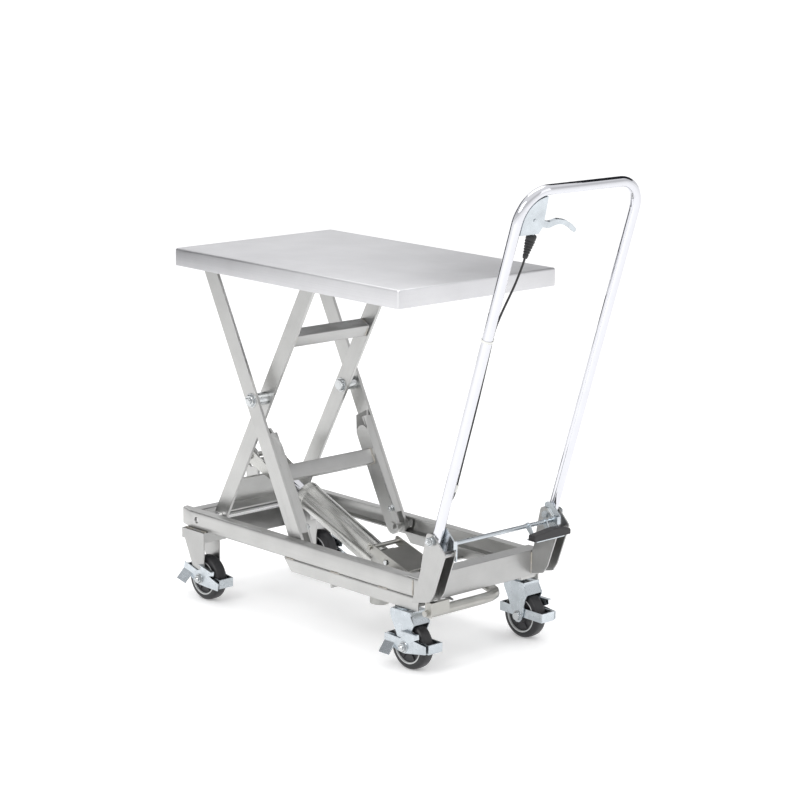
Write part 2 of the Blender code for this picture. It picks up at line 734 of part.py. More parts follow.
def make_table():
    half_x = TABLE_LENGTH / 2
    half_y = TABLE_WIDTH / 2
    bm = bmesh.new()
    size = Matrix.Diagonal((TABLE_LENGTH, TABLE_WIDTH, SKIRT, 1))
    middle = Matrix.Translation((0, 0, TABLE_TOP - SKIRT / 2))
    bmesh.ops.create_cube(bm, size=1, matrix=middle @ size)
    edges = [e for e in bm.edges if max(v.co.z for v in e.verts) > TABLE_TOP - 0.001]
    bmesh.ops.bevel(bm, geom=edges, offset=0.005, segments=3, affect="EDGES", profile=0.5)
    tray = finished(bm, "tray")
    low = (SHEET - half_x, SHEET - half_y, TABLE_TOP - 0.060)
    carve(tray, block(low, (half_x - SHEET, half_y - SHEET, TABLE_TOP - SHEET)))
    node("table_top", "table", "stainless", tray)
    reach = half_x - SHEET - GAP - 0.0002
    for name, side in SIDES.items():
        low = TOP_PIVOT_Z - 0.0205
        high = TABLE_TOP - SHEET - GAP
        outline = channel(side * 0.1435, side * 0.1165, low, high, 0.004)
        guide = loft([[(x, y, z) for y, z in outline] for x in (-reach, reach)])
        fuse(guide, across(*TOP.xz, *span(side, 0.1400, 0.1562), PIN))
        carve(guide, block((0.312, -0.160, 0.730), (0.360, 0.160, TABLE_TOP - SKIRT + GAP)))
        fuse(guide, across(*TOP.xz, *span(side, 0.1528, 0.1570), 0.0115, 6))
        node("table_channel_" + name, "table", "stainless", guide)


def make_cylinder():
    """The ram, its pump casting, and what the foot pedal and the cable work."""
    head = BARREL_HEAD
    profile = [
        (0.062, 0.0),
        (0.062, BARREL),
        (head - 0.014, BARREL),
        (head - 0.013, BARREL + 0.0015),
        (head, BARREL + 0.0015),
        (head, ROD + GAP),
        (head - 0.010, ROD + GAP),
        (head - 0.010, 0.024),
        (0.072, 0.024),
        (0.072, 0.0),
    ]
    node("cylinder_barrel", "cylinder", "steel", turned(profile, BASE_PIN, PUSH, 24))
    profile = [(0.196, 0), (0.196, 0.0237), (0.212, 0.0237), (0.212, ROD), (0.4427, ROD), (0.4427, 0)]
    node("cylinder_rod", "rod", "chrome", turned(profile, BASE_PIN, PUSH, 20))
    clevis = block((0.443, -0.015, -0.0345), (0.4562, 0.015, 0.0345), CYLINDER)
    cheek = belt([(REACH, 0, 0.016), (0.386, 0.004, 0.004), (0.386, -0.006, 0.004)])
    for side in SIDES.values():
        fuse(clevis, plate(cheek, *span(side, 0.0312, 0.0350), CYLINDER))
        fuse(clevis, across(*ROD_PIN.xz, *span(side, 0.034, 0.041), 0.010, 6))
    fuse(clevis, across(*ROD_PIN.xz, -0.036, 0.036, AXLE))
    node("rod_clevis", "rod", "steel", clevis)

    casting = block((-0.028, -0.032, -0.030), (0.0617, 0.028, 0.030), CYLINDER, 0.004)
    fuse(casting, bar((0.076, -0.008, 0.048), (0.076, -0.008, 0.110), 0.0213, 16))
    fuse(casting, block((0.090, -0.016, 0.058), (0.110, 0.000, 0.074)))
    top = PLUNGER_PIN - PLUNGE * 0.008
    fuse(casting, bar(PLUNGER_PIN - PLUNGE * 0.038, top, 0.014, 20))
    carve(casting, bar(PLUNGER_PIN - PLUNGE * 0.027, top + PLUNGE * 0.01, 0.0083))
    carve(casting, across(*BASE_PIN.xz, -0.04, 0.04, AXLE + GAP))
    node("pump_body", "cylinder", "steel", casting)

    plunger = bar(PLUNGER_PIN - PLUNGE * 0.026, PLUNGER_PIN, 0.008)
    fuse(plunger, across(*PLUNGER_PIN.xz, -0.046, 0.046, 0.005, 12))
    fuse(plunger, bar(PLUNGER_PIN - PLUNGE * 0.004, PLUNGER_PIN + PLUNGE * 0.008, 0.0095))
    node("pump_plunger", "plunger", "zinc", plunger)

    stem = bar(on_cylinder(-0.0283, -0.006), on_cylinder(-0.042, -0.006), 0.005, 12)
    arm = belt([(0, -0.006, 0.008), (0, 0.016, 0.004)], 16)
    swing = frame(BASE_PIN, (0, 1, 0), PUSH_UP, PUSH)
    fuse(stem, plate(arm, -0.038, -0.034, swing))
    node("release_valve_lever", "release_valve", "zinc", stem)


def make_pedal():
    """The foot pedal: a bent tube, its yoke round the pump, and the folded tread plate."""
    route = smooth(
        [
            (0.390, -0.1690, 0.128),
            (0.390, -0.1200, 0.128),
            (0.390, -0.060, 0.128),
            (0.390, -0.010, 0.128),
            (0.385, 0.022, 0.128),
            (0.368, 0.044, 0.128),
            (0.342, 0.054, 0.130),
            (0.300, 0.056, 0.136),
            (0.246, 0.050, 0.138),
        ],
        0.020,
    )
    lever = tube(route, 0.011, 3)
    fuse(lever, block((0.238, -0.042, 0.128), (0.254, 0.060, 0.147)))
    yoke = [(0.070, 0.170, 0.004), (0.074, 0.189, 0.004), (0.200, 0.149, 0.010)]
    yoke += [(0.252, 0.147, 0.003), (0.252, 0.127, 0.003), (0.208, 0.122, 0.010)]
    yoke += [(0.150, 0.141, 0.010)]
    swing = 0.0026
    slot = [(PLUNGER_PIN.x + shift, PLUNGER_PIN.z, 0.0058) for shift in (-swing, swing)]
    holes = [belt(slot, 16)]
    for side in SIDES.values():
        fuse(lever, plate(rounded(yoke), *span(side, 0.0390, 0.0420), SIDE, holes))
        fuse(lever, across(*PEDAL_PIVOT.xz, *span(side, 0.041, 0.047), 0.009, 6))
    fuse(lever, across(*PEDAL_PIVOT.xz, -0.043, 0.043, 0.005, 12))
    fuse(lever, across(0.080, 0.177, -0.047, 0.047, 0.005, 12))
    roof = strip([(0.112, 0.1746), (0.150, 0.1626), (0.196, 0.1480)], 0.003)
    fuse(lever, plate(roof, -0.0400, 0.0400))
    node("pedal_lever", "pedal", "stainless", lever)
    tread = strip([(0.3935, 0.1500), (0.4029, 0.1500), (0.4029, 0.1265)], 0.003)
    pad = plate(tread, -0.1727, -0.1225)
    fuse(pad, across(0.390, 0.128, -0.1790, -0.1693, 0.007, 6))
    fuse(pad, block((0.3850, -0.1724, 0.1200), (0.4029, -0.1697, 0.1500)))
    node("pedal_pad", "pedal", "stainless", pad)


def make_pump_bracket():
    """Two cheeks that carry the base pin and the pedal pin, on wings to the skirts."""
    cheek = rounded(
        [
            (0.098, 0.106, 0.006),
            (0.112, 0.099, 0.010),
            (0.150, 0.099, 0.010),
            (0.226, 0.119, 0.008),
            (0.228, 0.145, 0.010),
            (0.205, 0.149, 0.010),
            (0.160, 0.134, 0.010),
            (0.098, 0.134, 0.004),
        ]
    )
    holes = [circle(*PEDAL_PIVOT.xz, 0.0053, 12)]
    bracket = across(*BASE_PIN.xz, -0.040, 0.040, AXLE)
    for side in SIDES.values():
        fuse(bracket, plate(cheek, *span(side, 0.0340, 0.0370), SIDE, holes))
        fuse(bracket, across(*BASE_PIN.xz, *span(side, 0.0362, 0.043), 0.0093, 8))
        low, high = span(side, 0.0360, 0.1765 - 0.003 - GAP)
        fuse(bracket, block((0.100, low, 0.1275), (0.150, high, 0.1310)))
        low, high = span(side, 0.0362, 0.1765 - 0.003 - 2 * GAP)
        fuse(bracket, block((0.1005, low, 0.1175), (0.1040, high, 0.1295)))
    node("pump_bracket", "chassis", "stainless", bracket)


def make_handle():
    """The hoop, its foot brackets, the release lever's bracket and the cable clip."""
    bend = HANDLE_Y - HANDLE_BEND
    top = HANDLE_TOP - HANDLE_BEND
    arcs = []
    for side in (-1, 1):
        arc = []
        for k in range(8):
            turn = math.radians(90 * k / 7)
            y = bend + HANDLE_BEND * math.cos(turn)
            arc.append((side * y, top + HANDLE_BEND * math.sin(turn)))
        arcs.append(arc if side < 0 else arc[::-1])
    line = [(-HANDLE_Y, HANDLE_FOOT), *arcs[0], *arcs[1], (HANDLE_Y, HANDLE_FOOT)]
    hoop = tube([on_handle(*point) for point in line], HANDLE_TUBE, 4)
    line[0] = (-HANDLE_Y, HANDLE_FOOT - 0.02)
    line[-1] = (HANDLE_Y, HANDLE_FOOT - 0.02)
    carve(hoop, tube([on_handle(*point) for point in line], HANDLE_TUBE - 0.0015, 4))
    carve(hoop, bar(on_handle(-0.148, 0.3975), on_handle(-0.164, 0.3615), 0.0036, 12))
    for side in SIDES.values():
        carve(hoop, across(*HINGE.xz, side * 0.150, side * 0.185, 0.0043, 12))
    node("handle_tube", "handle", "chrome", hoop)

    for name, side in SIDES.items():
        outline = [
            (0.397, 0.252, 0.004),
            (0.446, 0.268, 0.002),
            (0.446, 0.286, 0.002),
            (0.422, 0.310, 0.006),
            (0.404, 0.310, 0.006),
        ]
        bracket = plate(rounded(outline), *span(side, 0.1524, 0.1556))
        low, high = span(side, 0.1450, 0.1550)
        fuse(bracket, block((0.4432, low, 0.2685), (0.4464, high, 0.2850)))
        wing = belt([(LATCH.x, LATCH.z, 0.0085), (0.4449, 0.2440, 0.0015), (0.4449, 0.2835, 0.0015)])
        hole = circle(LATCH.x, LATCH.z, 0.0048, 12)
        fuse(bracket, plate(wing, *span(side, 0.1450, 0.1482), SIDE, [hole]))
        fuse(bracket, across(*HINGE.xz, *span(side, 0.1435, 0.1870), 0.004, 12))
        fuse(bracket, across(*HINGE.xz, *span(side, 0.1821, 0.1875), 0.008, 6))
        fuse(bracket, across(*HINGE.xz, *span(side, 0.1430, 0.1487), 0.008, 6))
        node("handle_bracket_" + name, "handle", "zinc", bracket)

    near = HANDLE_BEND - HANDLE_TUBE - 0.0005
    outline = [(-HANDLE_Y + HANDLE_TUBE + 0.0005, 0.9605)]
    for k in range(9):
        turn = math.radians(90 * k / 8)
        outline.append((-bend - near * math.cos(turn), top + near * math.sin(turn)))
    outline += [(-0.0960, 0.9750), (-0.1040, 0.9605)]
    hole = circle(*LEVER_PIVOT, 0.0033, 12)
    holder = plate(outline, -0.0060, 0.0060, HANDLE, [hole])
    carve(holder, block((-0.1490, 0.9655, -0.0042), (-0.0500, 1.0120, 0.0042), HANDLE))
    stub = bar(on_handle(-0.1163, 0.9640), on_handle(-0.1160, 0.9575), 0.0045, 12)
    node("lever_bracket", "handle", "zinc", fuse(holder, stub))

    lever = [
        (-0.136, 0.9904, 0.007),
        (-0.128, 1.0010, 0.006),
        (-0.104, 0.9910, 0.010),
        (-0.080, 0.9812, 0.020),
        (-0.057, 0.9862, 0.025),
        (-0.032, 0.9812, 0.030),
        (-0.010, 0.9700, 0.020),
        (0.0065, 0.9580, 0.003),
        (0.0015, 0.9515, 0.003),
        (-0.014, 0.9612, 0.020),
        (-0.036, 0.9722, 0.030),
        (-0.055, 0.9745, 0.030),
        (-0.076, 0.9678, 0.020),
        (-0.102, 0.9735, 0.010),
        (-0.128, 0.9800, 0.006),
    ]
    lever = plate(rounded(lever, 2), -0.0038, 0.0038, HANDLE)
    pivot = on_handle(*LEVER_PIVOT)
    fuse(lever, bar(pivot - LEAN_OUT * 0.0075, pivot + LEAN_OUT * 0.0075, 0.003, 12))
    node("hand_lever", "hand_lever", "zinc", lever)

    low, high = 0.7365, 0.7415
    band = bar(on_handle(-HANDLE_Y, low), on_handle(-HANDLE_Y, high), 0.0122, 16)
    fuse(band, bar(on_handle(-0.1529, low), on_handle(-0.1529, high), 0.0042, 10))
    carve(band, bar(on_handle(-HANDLE_Y, 0.700), on_handle(-HANDLE_Y, 0.780), 0.0113, 16))
    carve(band, bar(on_handle(-0.1529, 0.700), on_handle(-0.1529, 0.780), 0.0026, 8))
    node("cable_clip", "handle", "white_plastic", band)

    rod = across(*LATCH.xz, -0.1480, 0.1480, 0.0045, 12)
    for y in (0.078, 0.128):
        arm = belt([(LATCH.x, LATCH.z, 0.007), (0.446, 0.2515, 0.003)], 12)
        fuse(rod, plate(arm, y - 0.003, y))
    fuse(rod, block((0.441, 0.062, 0.2497), (0.469, 0.144, 0.2522)))
    node("latch_rod", "fold_latch", "zinc", rod)
    outline = [(0.0520, 0.2526, 0.002), (0.1590, 0.2526, 0.002), (0.1590, 0.2655, 0.006)]
    outline = rounded([*outline, (0.1200, 0.2722, 0.040), (0.0520, 0.2655, 0.004)], 3)
    pad = plate(outline, 0.4535, 0.4725, frame((0, 0, 0), (0, 1, 0), (0, 0, 1), (1, 0, 0)))
    node("release_pedal", "fold_latch", "black_plastic", pad)


def make_cable():
    """The release cable: down the hoop, into its left leg, then through the chassis."""
    above = smooth(
        [
            on_handle(-0.1190, 0.9100),
            on_handle(-0.1205, 0.892),
            on_handle(-0.1290, 0.850),
            on_handle(-0.1440, 0.800),
            on_handle(-0.1520, 0.765),
            on_handle(-0.1529, 0.739),
            on_handle(-0.1515, 0.700),
            on_handle(-0.1490, 0.600),
            on_handle(-0.1490, 0.500),
            on_handle(-0.1490, 0.420),
            on_handle(-0.1500, 0.398),
            on_handle(-0.1570, 0.3775),
            on_handle(-0.1635, 0.360),
            on_handle(-0.1668, 0.340, -0.003),
            on_handle(-0.1670, 0.315, -0.0066),
            on_handle(-0.1670, 0.2967, -0.0067),
            on_handle(-0.1670, 0.280, -0.0060),
            on_handle(-0.1670, 0.2664, -0.0045),
        ],
        0.0134,
    )
    cord = tube(above, CABLE, 2)
    boot = bar(on_handle(-0.1160, 0.9570), on_handle(-0.1192, 0.9085), 0.0105, 12, 0.005)
    node("release_cable_upper", "handle", "black_rubber", fuse(cord, boot))
    join = on_handle(-0.1670, 0.2664 - GAP, -0.0045)
    below = smooth(
        [
            join,
            on_handle(-0.1670, 0.250, -0.0025),
            (0.3945, -0.1660, 0.215),
            (0.3880, -0.1620, 0.188),
            (0.3790, -0.1600, 0.1755),
            (0.3690, -0.1600, 0.1750),
            (0.3610, -0.1580, 0.1745),
            (0.3550, -0.1480, 0.1730),
            (0.3540, -0.1250, 0.166),
            (0.3510, -0.0950, 0.148),
            (0.3420, -0.0580, 0.127),
            (0.3180, -0.0300, 0.114),
            (0.2800, -0.0180, 0.1095),
            (0.2200, -0.0130, 0.1100),
            (0.1850, -0.0090, 0.1140),
            (0.1705, -0.0030, 0.1160),
        ],
        0.0125,
    )
    node("release_cable_lower", "chassis", "black_rubber", tube(below, CABLE, 2))


make_chassis()
make_running_gear()
make_arms()
make_lift_lever()
make_table()
make_cylinder()
make_pedal()
make_pump_bracket()
make_handle()
make_cable()
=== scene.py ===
"""Looks of the mobile scissor lift table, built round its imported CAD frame."""

import json
import math

import bmesh
import bpy
from mathutils import Matrix, Vector


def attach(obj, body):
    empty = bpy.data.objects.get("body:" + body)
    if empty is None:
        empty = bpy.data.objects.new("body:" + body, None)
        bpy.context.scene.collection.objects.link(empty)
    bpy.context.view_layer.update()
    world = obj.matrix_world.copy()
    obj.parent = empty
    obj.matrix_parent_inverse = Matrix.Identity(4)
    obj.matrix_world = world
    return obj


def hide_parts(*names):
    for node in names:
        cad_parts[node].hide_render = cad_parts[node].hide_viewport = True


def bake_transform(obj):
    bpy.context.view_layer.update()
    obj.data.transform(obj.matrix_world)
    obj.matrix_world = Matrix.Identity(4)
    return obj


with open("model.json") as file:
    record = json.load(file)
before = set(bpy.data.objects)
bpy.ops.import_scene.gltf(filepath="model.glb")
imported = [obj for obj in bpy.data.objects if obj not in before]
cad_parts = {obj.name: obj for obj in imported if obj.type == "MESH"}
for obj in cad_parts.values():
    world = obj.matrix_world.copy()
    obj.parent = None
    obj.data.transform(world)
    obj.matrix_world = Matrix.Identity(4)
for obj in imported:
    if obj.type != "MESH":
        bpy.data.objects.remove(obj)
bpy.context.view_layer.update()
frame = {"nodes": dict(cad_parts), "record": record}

# The frame's origin lies under the middle of the whole object; the sizes below are
# measured from the middle of the table, and place() carries them over.
CENTRE_X = 0.12074
SIDES = {"left": -1, "right": 1}

PIVOT_X = -0.3345
PIVOT_Z = 0.175
TOP_PIVOT_Z = 0.7632
ARM = 0.664
RISE = math.asin((TOP_PIVOT_Z - PIVOT_Z) / ARM)
ROLLER_X = PIVOT_X + ARM * math.cos(RISE)

BASE_PIN = Vector((0.125, 0.0, 0.117))
ROD_PIN = Vector((-0.325, 0.0, 0.303))
PUSH = (ROD_PIN - BASE_PIN).normalized()
BARREL = 0.029
BARREL_HEAD = 0.322
ROD = 0.0125

LEAN_ANGLE = math.atan(0.3025)
LEAN = Vector((math.sin(LEAN_ANGLE), 0, math.cos(LEAN_ANGLE)))
LEAN_OUT = Vector((LEAN.z, 0, -LEAN.x))
HANDLE_FOOT_X = 0.3242
HANDLE_Y = 0.167
HANDLE_TUBE = 0.0107
HANDLE_BEND = 0.065
HANDLE_TOP = 1.0489
HANDLE_FOOT = 0.2664
HANDLE_PIVOT = 0.2967

WHEEL = 0.050
WHEEL_Y = 0.165
FRONT_AXLE_X = -0.3115
REAR_AXLE_X = 0.343


def place(x, y, z):
    """A point of the drawing, in the frame's coordinates."""
    return Vector((x - CENTRE_X, y, z))


def on_handle(y, along, out=0.0):
    """A point given in the plane of the handle."""
    return place(HANDLE_FOOT_X, y, 0) + LEAN * along + LEAN_OUT * out


def on_inner_arm(along, up, y):
    """A point given along an inner arm from the base pivot."""
    x = PIVOT_X + along * math.cos(RISE) + up * math.sin(RISE)
    return place(x, y, PIVOT_Z + along * math.sin(RISE) - up * math.cos(RISE))


def on_outer_arm(along, up, y):
    """A point given along an outer arm from its roller."""
    x = ROLLER_X - along * math.cos(RISE) + up * math.sin(RISE)
    return place(x, y, PIVOT_Z + along * math.sin(RISE) + up * math.cos(RISE))


# ---------------------------------------------------------------- materials


class Shade:
    """A material's node tree, with short ways to wire it."""

    def __init__(self, name, metallic=0.0, specular=0.5):
        self.material = bpy.data.materials.new(name)
        self.material.use_nodes = True
        self.nodes = self.material.node_tree.nodes
        self.links = self.material.node_tree.links
        self.shader = self.nodes["Principled BSDF"]
        self.shader.inputs["Metallic"].default_value = metallic
        self.shader.inputs["Specular IOR Level"].default_value = specular
        self.coordinates = self.nodes.new("ShaderNodeTexCoord").outputs["Object"]

    def stretched(self, size, angle=0.0):
        """Object coordinates in which one unit is a feature of this size, turned about Y."""
        mapping = self.nodes.new("ShaderNodeMapping")
        mapping.vector_type = "TEXTURE"
        mapping.inputs["Rotation"].default_value = (0, angle, 0)
        mapping.inputs["Scale"].default_value = size
        self.links.new(self.coordinates, mapping.inputs["Vector"])
        return mapping.outputs["Vector"]

    def noise(self, size, detail=2.0, roughness=0.5, angle=0.0):
        size = size if isinstance(size, tuple) else (size, size, size)
        node = self.nodes.new("ShaderNodeTexNoise")
        node.inputs["Scale"].default_value = 1.0
        node.inputs["Detail"].default_value = detail
        node.inputs["Roughness"].default_value = roughness
        self.links.new(self.stretched(size, angle), node.inputs["Vector"])
        return node.outputs["Fac"]

    def cells(self, size):
        """Distance to the nearest of the points scattered this far apart."""
        node = self.nodes.new("ShaderNodeTexVoronoi")
        node.inputs["Scale"].default_value = 1.0
        self.links.new(self.stretched((size, size, size)), node.inputs["Vector"])
        return node.outputs

    def ramp(self, value, stops):
        """Maps a value through (position, value or colour) stops."""
        node = self.nodes.new("ShaderNodeValToRGB")
        elements = node.color_ramp.elements
        while len(elements) < len(stops):
            elements.new(0.5)
        for element, (position, colour) in zip(elements, stops):
            colour = colour if isinstance(colour, tuple) else (colour,) * 3
            element.position = position
            element.color = (*colour, 1)
        self.links.new(value, node.inputs["Fac"])
        return node.outputs["Color"]

    def mix(self, factor, first, second, blend="MIX"):
        node = self.nodes.new("ShaderNodeMix")
        node.data_type = "RGBA"
        node.blend_type = blend
        for socket, value in ((0, factor), (6, first), (7, second)):
            if isinstance(value, bpy.types.NodeSocket):
                self.links.new(value, node.inputs[socket])
            else:
                node.inputs[socket].default_value = (*value, 1) if socket else value
        return node.outputs[2]

    def bump(self, *layers):
        """Stacks (height, strength, distance) layers onto the normal."""
        normal = None
        for height, strength, distance in layers:
            node = self.nodes.new("ShaderNodeBump")
            node.inputs["Strength"].default_value = strength
            node.inputs["Distance"].default_value = distance
            self.links.new(height, node.inputs["Height"])
            if normal:
                self.links.new(normal, node.inputs["Normal"])
            normal = node.outputs["Normal"]
        self.links.new(normal, self.shader.inputs["Normal"])

    def finish(self, colour, roughness):
        self.links.new(colour, self.shader.inputs["Base Color"])
        self.links.new(roughness, self.shader.inputs["Roughness"])
        return self.material


def brushed(name, colour, rough, grain, angle=0.0, contrast=0.06):
    """Sheet steel with brush lines along one direction, faint clouds and handling marks."""
    shade = Shade(name, metallic=1.0)
    lines = shade.noise(grain, 3.0, 0.7, angle)
    clouds = shade.noise(0.09, 3.0, 0.55)
    marks = shade.noise((0.012, 0.05, 0.006), 4.0, 0.75, angle + 0.6)
    low = tuple(c * (1 - contrast) for c in colour)
    high = tuple(min(1, c * (1 + contrast)) for c in colour)
    tint = shade.ramp(clouds, [(0.32, low), (0.68, high)])
    streak = shade.ramp(lines, [(0.30, 0.93), (0.70, 1.0)])
    tint = shade.mix(1.0, tint, streak, "MULTIPLY")
    smudge = shade.ramp(marks, [(0.56, 0.0), (0.76, 0.5)])
    tint = shade.mix(smudge, tint, tuple(c * 0.90 for c in colour))
    spread = shade.ramp(lines, [(0.25, rough - 0.05), (0.75, rough + 0.07)])
    spread = shade.mix(shade.ramp(clouds, [(0.3, 0.0), (0.7, 0.6)]), spread, (rough + 0.06,) * 3)
    shade.bump((lines, 0.10, 0.0002), (clouds, 0.05, 0.0015))
    return shade.finish(tint, spread)


def plated(name, colour, rough):
    """Zinc plating: small crystals, a bluish cast and worn, duller patches."""
    shade = Shade(name, metallic=1.0)
    crystals = shade.cells(0.004)
    clouds = shade.noise(0.03, 4.0, 0.6)
    tone = shade.ramp(crystals["Distance"], [(0.0, 0.95), (0.9, 1.0)])
    tint = shade.ramp(
        clouds, [(0.30, tuple(c * 0.86 for c in colour)), (0.70, tuple(c * 1.04 for c in colour))]
    )
    tint = shade.mix(1.0, tint, tone, "MULTIPLY")
    spread = shade.ramp(clouds, [(0.3, rough + 0.10), (0.7, rough - 0.04)])
    fine = shade.noise(0.0012, 2.0)
    shade.bump((fine, 0.08, 0.0002), (crystals["Distance"], 0.04, 0.0004))
    return shade.finish(tint, spread)


def polished(name, colour, rough):
    """Chrome: nearly a mirror, with faint wiping marks."""
    shade = Shade(name, metallic=1.0)
    wipes = shade.noise((0.02, 0.02, 0.08), 4.0, 0.6)
    waves = shade.noise(0.05, 1.0)
    tint = shade.ramp(wipes, [(0.3, tuple(c * 0.97 for c in colour)), (0.7, colour)])
    spread = shade.ramp(wipes, [(0.45, rough), (0.75, rough + 0.07)])
    shade.bump((waves, 0.05, 0.0010), (wipes, 0.03, 0.0002))
    return shade.finish(tint, spread)


def black(name, colour, rough, pore, strength, dust=0.25):
    """Rubber or moulded plastic: a fine pore, dust in the hollows and a scuffed sheen."""
    shade = Shade(name, specular=0.45)
    pores = shade.noise(pore, 3.0, 0.6)
    clouds = shade.noise(0.018, 4.0, 0.65)
    dusty = tuple(min(1, c * 2.0 + 0.018) for c in colour)
    tint = shade.mix(shade.ramp(clouds, [(0.42, 0.0), (0.78, dust)]), colour, dusty)
    spread = shade.ramp(clouds, [(0.3, rough - 0.06), (0.7, rough + 0.12)])
    shade.bump((pores, strength, 0.0003), (clouds, 0.06, 0.0008))
    return shade.finish(tint, spread)


def welded(name):
    """Weld metal: a dull bead with straw and blue heat tint."""
    shade = Shade(name, metallic=1.0)
    heat = shade.noise(0.010, 3.0, 0.6)
    grain = shade.noise(0.0015, 3.0, 0.6)
    tint = shade.ramp(
        heat, [(0.30, (0.40, 0.38, 0.36)), (0.52, (0.55, 0.52, 0.46)), (0.72, (0.46, 0.47, 0.52))]
    )
    spread = shade.ramp(grain, [(0.3, 0.34), (0.7, 0.52)])
    shade.bump((grain, 0.25, 0.0004))
    return shade.finish(tint, spread)


STEEL = (0.54, 0.54, 0.53)
FINE = 0.0007
sheet = brushed("stainless_sheet", STEEL, 0.34, (0.22, FINE, FINE))
# The table top is the same stainless sheet painted lighter: its brighter base colour is painted
# light, for the light that the upward-facing top catches.
deck = brushed("stainless_deck_painted_light", (0.75, 0.75, 0.765), 0.40, (0.30, FINE, 0.0010), contrast=0.035)
# The cross members are the same stainless sheet painted darker: their darker base colour is
# painted shade, for their place inside the frame.
cross = brushed("stainless_cross_painted_shade", (0.47, 0.47, 0.465), 0.33, (FINE, 0.20, FINE))
inner_bar = brushed("stainless_inner_arm", STEEL, 0.32, (0.22, FINE, FINE), -RISE)
outer_bar = brushed("stainless_outer_arm", STEEL, 0.32, (0.22, FINE, FINE), RISE)
# The towers and front forks are the same stainless sheet painted darker: their darker base colour
# is painted shade on the standing plates.
upright = brushed("stainless_upright_painted_shade", (0.49, 0.49, 0.483), 0.33, (FINE, FINE, 0.18), 0.28)
ram_steel = brushed("satin_ram", (0.55, 0.55, 0.53), 0.24, (0.10, 0.0010, FINE), 0.40, 0.10)
treadle = brushed("treadle_steel", (0.47, 0.465, 0.44), 0.30, (FINE, 0.10, FINE), 0.0, 0.12)
cast_steel = plated("bead_blasted_casting", (0.52, 0.52, 0.50), 0.42)
zinc = plated("zinc_plate", (0.60, 0.645, 0.68), 0.24)
bolt_zinc = plated("zinc_fastener", (0.62, 0.64, 0.65), 0.20)
chrome = polished("chrome", (0.70, 0.705, 0.74), 0.035)
machined = polished("machined_steel", (0.62, 0.62, 0.62), 0.20)
rubber = black("tread_rubber", (0.018, 0.018, 0.020), 0.34, 0.0010, 0.16, 0.15)
core_plastic = black("wheel_core", (0.030, 0.030, 0.033), 0.32, 0.0016, 0.10, 0.12)
grip_rubber = black("pad_rubber", (0.022, 0.021, 0.023), 0.42, 0.0012, 0.25, 0.2)
sheath = black("cable_sheath", (0.020, 0.020, 0.021), 0.38, 0.0016, 0.08, 0.10)
rim_plastic = black("grey_rim", (0.52, 0.53, 0.53), 0.40, 0.0014, 0.08, 0.10)
ferrule_white = black("white_ferrule", (0.75, 0.75, 0.72), 0.40, 0.0014, 0.08, 0.08)
bead_metal = welded("weld_metal")


# ---------------------------------------------------------------- making pieces


def show(bm, name, body, material, replaces=(), sharp=35.0):
    """Turns a bmesh into a shown piece that rides on a body."""
    bmesh.ops.recalc_face_normals(bm, faces=bm.faces)
    mesh = bpy.data.meshes.new(name)
    bm.to_mesh(mesh)
    bm.free()
    mesh.shade_smooth()
    mesh.set_sharp_from_angle(angle=math.radians(sharp))
    mesh.materials.append(material)
    made = bpy.data.objects.new(name, mesh)
    bpy.context.scene.collection.objects.link(made)
    if isinstance(body, str):
        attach(made, body)
    if replaces:
        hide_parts(*replaces)
    return made


def refine(node, material, width, segments=2):
    """A finer copy of a CAD node: its flat faces rejoined and every sharp edge rounded."""
    bm = bmesh.new()
    bm.from_mesh(frame["nodes"][node].data)
    bmesh.ops.remove_doubles(bm, verts=bm.verts, dist=2e-6)
    bmesh.ops.dissolve_limit(
        bm, angle_limit=math.radians(0.8), verts=bm.verts, edges=bm.edges, delimit={"NORMAL"}
    )
    return soften(
        show(bm, "fine_" + node, body_of[node], material, (node,)), width, segments
    )


def soften(made, width, segments=2):
    """Rounds every sharp edge of a piece."""
    bevel = made.modifiers.new("bevel", "BEVEL")
    bevel.width = width
    bevel.segments = segments
    bevel.limit_method = "ANGLE"
    bevel.angle_limit = math.radians(40)
    bevel.harden_normals = True
    bevel.use_clamp_overlap = True
    return made


def prism(bm, first, second):
    """Joins two matching outlines of points with end caps and side faces."""
    rows = [[bm.verts.new(point) for point in row] for row in (first, second)]
    bm.faces.new(rows[0])
    bm.faces.new(rows[1][::-1])
    for k in range(len(first)):
        bm.faces.new((rows[0][k - 1], rows[0][k], rows[1][k], rows[1][k - 1]))


def lathe(bm, profile, origin, axis, steps=48):
    """Spins a (distance along, radius) profile round a line into bm."""
    axis = Vector(axis).normalized()
    side = axis.cross(Vector((1, 0, 0)) if abs(axis.x) < 0.5 else Vector((0, 1, 0))).normalized()
    verts = [bm.verts.new(Vector(origin) + axis * a + side * r) for a, r in profile]
    edges = [bm.edges.new(pair) for pair in zip(verts, verts[1:])]
    bmesh.ops.spin(
        bm,
        geom=verts + edges,
        cent=origin,
        axis=axis,
        angle=2 * math.pi,
        steps=steps,
        use_duplicate=False,
    )
    bmesh.ops.remove_doubles(bm, verts=bm.verts, dist=1e-6)
    return bm


def sweep(bm, points, radius, sides=16, caps=True):
    """A round section carried along points; radius is a number or one for each point."""
    points = [Vector(p) for p in points]
    radii = radius if isinstance(radius, list) else [radius] * len(points)
    up = None
    rings = []
    for i, here in enumerate(points):
        before = points[max(i - 1, 0)]
        after = points[min(i + 1, len(points) - 1)]
        ahead = (after - before).normalized()
        up = (up or ahead.orthogonal()) - ahead * ahead.dot(up or ahead.orthogonal())
        up.normalize()
        out = ahead.cross(up)
        ring = []
        for k in range(sides):
            turn = 2 * math.pi * k / sides
            spoke = up * math.cos(turn) + out * math.sin(turn)
            ring.append(bm.verts.new(here + spoke * radii[i]))
        rings.append(ring)
    for first, second in zip(rings, rings[1:]):
        for k in range(sides):
            bm.faces.new((first[k - 1], first[k], second[k], second[k - 1]))
    if caps:
        bm.faces.new(rings[0][::-1])
        bm.faces.new(rings[-1])
    return bm


